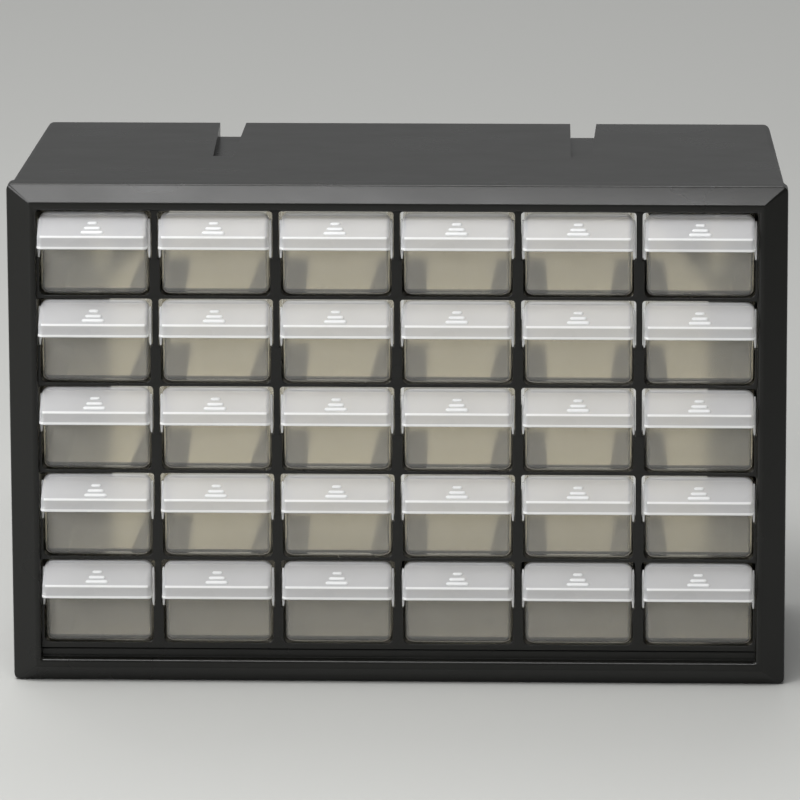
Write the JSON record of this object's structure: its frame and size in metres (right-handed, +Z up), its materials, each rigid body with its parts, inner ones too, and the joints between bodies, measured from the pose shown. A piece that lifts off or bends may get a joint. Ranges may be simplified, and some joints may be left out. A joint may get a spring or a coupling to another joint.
{
  "type": "small parts drawer cabinet",
  "caption": "Desktop or wall cabinet for small parts: a black moulded frame with rows of pull-out frosted drawers, each with a full-width hooded handle, on an open back.",
  "frame": {"origin": "on the table under the middle of the whole cabinet, counting the depth of the drawer handles", "axes": "+X to the cabinet's right as seen from the front, +Y to its back, +Z up; drawers pull out along -Y"},
  "size_m": [0.38, 0.171, 0.25],
  "materials": {
    "cabinet_plastic": "satin",
    "drawer_plastic": "frosted"
  },
  "bodies": {
    "cabinet": {"outer_shell": "cabinet_plastic", "back_panel": "cabinet_plastic", "gusset_left": "cabinet_plastic", "gusset_right": "cabinet_plastic", "front_bezel": "cabinet_plastic", "divider_1": "cabinet_plastic", "divider_2": "cabinet_plastic", "divider_3": "cabinet_plastic", "divider_4": "cabinet_plastic", "divider_5": "cabinet_plastic", "divider_6": "cabinet_plastic", "divider_7": "cabinet_plastic", "shelf_bar_1": "cabinet_plastic", "shelf_bar_2": "cabinet_plastic", "shelf_bar_3": "cabinet_plastic", "shelf_bar_4": "cabinet_plastic", "shelf_bar_5": "cabinet_plastic", "shelf_bar_6": "cabinet_plastic", "ledges_row_1": "cabinet_plastic", "ledges_row_2": "cabinet_plastic", "ledges_row_3": "cabinet_plastic", "ledges_row_4": "cabinet_plastic", "ledges_row_5": "cabinet_plastic", "guide_webs_row_1": "cabinet_plastic", "guide_webs_row_2": "cabinet_plastic", "guide_webs_row_3": "cabinet_plastic", "guide_webs_row_4": "cabinet_plastic", "guide_webs_row_5": "cabinet_plastic"},
    "drawer_r1_c1": {"drawer_r1_c1": "drawer_plastic"},
    "drawer_r1_c2": {"drawer_r1_c2": "drawer_plastic"},
    "drawer_r1_c3": {"drawer_r1_c3": "drawer_plastic"},
    "drawer_r1_c4": {"drawer_r1_c4": "drawer_plastic"},
    "drawer_r1_c5": {"drawer_r1_c5": "drawer_plastic"},
    "drawer_r1_c6": {"drawer_r1_c6": "drawer_plastic"},
    "drawer_r2_c1": {"drawer_r2_c1": "drawer_plastic"},
    "drawer_r2_c2": {"drawer_r2_c2": "drawer_plastic"},
    "drawer_r2_c3": {"drawer_r2_c3": "drawer_plastic"},
    "drawer_r2_c4": {"drawer_r2_c4": "drawer_plastic"},
    "drawer_r2_c5": {"drawer_r2_c5": "drawer_plastic"},
    "drawer_r2_c6": {"drawer_r2_c6": "drawer_plastic"},
    "drawer_r3_c1": {"drawer_r3_c1": "drawer_plastic"},
    "drawer_r3_c2": {"drawer_r3_c2": "drawer_plastic"},
    "drawer_r3_c3": {"drawer_r3_c3": "drawer_plastic"},
    "drawer_r3_c4": {"drawer_r3_c4": "drawer_plastic"},
    "drawer_r3_c5": {"drawer_r3_c5": "drawer_plastic"},
    "drawer_r3_c6": {"drawer_r3_c6": "drawer_plastic"},
    "drawer_r4_c1": {"drawer_r4_c1": "drawer_plastic"},
    "drawer_r4_c2": {"drawer_r4_c2": "drawer_plastic"},
    "drawer_r4_c3": {"drawer_r4_c3": "drawer_plastic"},
    "drawer_r4_c4": {"drawer_r4_c4": "drawer_plastic"},
    "drawer_r4_c5": {"drawer_r4_c5": "drawer_plastic"},
    "drawer_r4_c6": {"drawer_r4_c6": "drawer_plastic"},
    "drawer_r5_c1": {"drawer_r5_c1": "drawer_plastic"},
    "drawer_r5_c2": {"drawer_r5_c2": "drawer_plastic"},
    "drawer_r5_c3": {"drawer_r5_c3": "drawer_plastic"},
    "drawer_r5_c4": {"drawer_r5_c4": "drawer_plastic"},
    "drawer_r5_c5": {"drawer_r5_c5": "drawer_plastic"},
    "drawer_r5_c6": {"drawer_r5_c6": "drawer_plastic"}
  },
  "joints": [
    {"name": "slide_r1_c1", "type": "slide", "parent": "cabinet", "child": "drawer_r1_c1", "axis": [0, -1, 0], "range_m": [0, 0.133]},
    {"name": "slide_r1_c2", "type": "slide", "parent": "cabinet", "child": "drawer_r1_c2", "axis": [0, -1, 0], "range_m": [0, 0.133]},
    {"name": "slide_r1_c3", "type": "slide", "parent": "cabinet", "child": "drawer_r1_c3", "axis": [0, -1, 0], "range_m": [0, 0.133]},
    {"name": "slide_r1_c4", "type": "slide", "parent": "cabinet", "child": "drawer_r1_c4", "axis": [0, -1, 0], "range_m": [0, 0.133]},
    {"name": "slide_r1_c5", "type": "slide", "parent": "cabinet", "child": "drawer_r1_c5", "axis": [0, -1, 0], "range_m": [0, 0.133]},
    {"name": "slide_r1_c6", "type": "slide", "parent": "cabinet", "child": "drawer_r1_c6", "axis": [0, -1, 0], "range_m": [0, 0.133]},
    {"name": "slide_r2_c1", "type": "slide", "parent": "cabinet", "child": "drawer_r2_c1", "axis": [0, -1, 0], "range_m": [0, 0.133]},
    {"name": "slide_r2_c2", "type": "slide", "parent": "cabinet", "child": "drawer_r2_c2", "axis": [0, -1, 0], "range_m": [0, 0.133]},
    {"name": "slide_r2_c3", "type": "slide", "parent": "cabinet", "child": "drawer_r2_c3", "axis": [0, -1, 0], "range_m": [0, 0.133]},
    {"name": "slide_r2_c4", "type": "slide", "parent": "cabinet", "child": "drawer_r2_c4", "axis": [0, -1, 0], "range_m": [0, 0.133]},
    {"name": "slide_r2_c5", "type": "slide", "parent": "cabinet", "child": "drawer_r2_c5", "axis": [0, -1, 0], "range_m": [0, 0.133]},
    {"name": "slide_r2_c6", "type": "slide", "parent": "cabinet", "child": "drawer_r2_c6", "axis": [0, -1, 0], "range_m": [0, 0.133]},
    {"name": "slide_r3_c1", "type": "slide", "parent": "cabinet", "child": "drawer_r3_c1", "axis": [0, -1, 0], "range_m": [0, 0.133]},
    {"name": "slide_r3_c2", "type": "slide", "parent": "cabinet", "child": "drawer_r3_c2", "axis": [0, -1, 0], "range_m": [0, 0.133]},
    {"name": "slide_r3_c3", "type": "slide", "parent": "cabinet", "child": "drawer_r3_c3", "axis": [0, -1, 0], "range_m": [0, 0.133]},
    {"name": "slide_r3_c4", "type": "slide", "parent": "cabinet", "child": "drawer_r3_c4", "axis": [0, -1, 0], "range_m": [0, 0.133]},
    {"name": "slide_r3_c5", "type": "slide", "parent": "cabinet", "child": "drawer_r3_c5", "axis": [0, -1, 0], "range_m": [0, 0.133]},
    {"name": "slide_r3_c6", "type": "slide", "parent": "cabinet", "child": "drawer_r3_c6", "axis": [0, -1, 0], "range_m": [0, 0.133]},
    {"name": "slide_r4_c1", "type": "slide", "parent": "cabinet", "child": "drawer_r4_c1", "axis": [0, -1, 0], "range_m": [0, 0.133]},
    {"name": "slide_r4_c2", "type": "slide", "parent": "cabinet", "child": "drawer_r4_c2", "axis": [0, -1, 0], "range_m": [0, 0.133]},
    {"name": "slide_r4_c3", "type": "slide", "parent": "cabinet", "child": "drawer_r4_c3", "axis": [0, -1, 0], "range_m": [0, 0.133]},
    {"name": "slide_r4_c4", "type": "slide", "parent": "cabinet", "child": "drawer_r4_c4", "axis": [0, -1, 0], "range_m": [0, 0.133]},
    {"name": "slide_r4_c5", "type": "slide", "parent": "cabinet", "child": "drawer_r4_c5", "axis": [0, -1, 0], "range_m": [0, 0.133]},
    {"name": "slide_r4_c6", "type": "slide", "parent": "cabinet", "child": "drawer_r4_c6", "axis": [0, -1, 0], "range_m": [0, 0.133]},
    {"name": "slide_r5_c1", "type": "slide", "parent": "cabinet", "child": "drawer_r5_c1", "axis": [0, -1, 0], "range_m": [0, 0.133]},
    {"name": "slide_r5_c2", "type": "slide", "parent": "cabinet", "child": "drawer_r5_c2", "axis": [0, -1, 0], "range_m": [0, 0.133]},
    {"name": "slide_r5_c3", "type": "slide", "parent": "cabinet", "child": "drawer_r5_c3", "axis": [0, -1, 0], "range_m": [0, 0.133]},
    {"name": "slide_r5_c4", "type": "slide", "parent": "cabinet", "child": "drawer_r5_c4", "axis": [0, -1, 0], "range_m": [0, 0.133]},
    {"name": "slide_r5_c5", "type": "slide", "parent": "cabinet", "child": "drawer_r5_c5", "axis": [0, -1, 0], "range_m": [0, 0.133]},
    {"name": "slide_r5_c6", "type": "slide", "parent": "cabinet", "child": "drawer_r5_c6", "axis": [0, -1, 0], "range_m": [0, 0.133]}
  ]
}
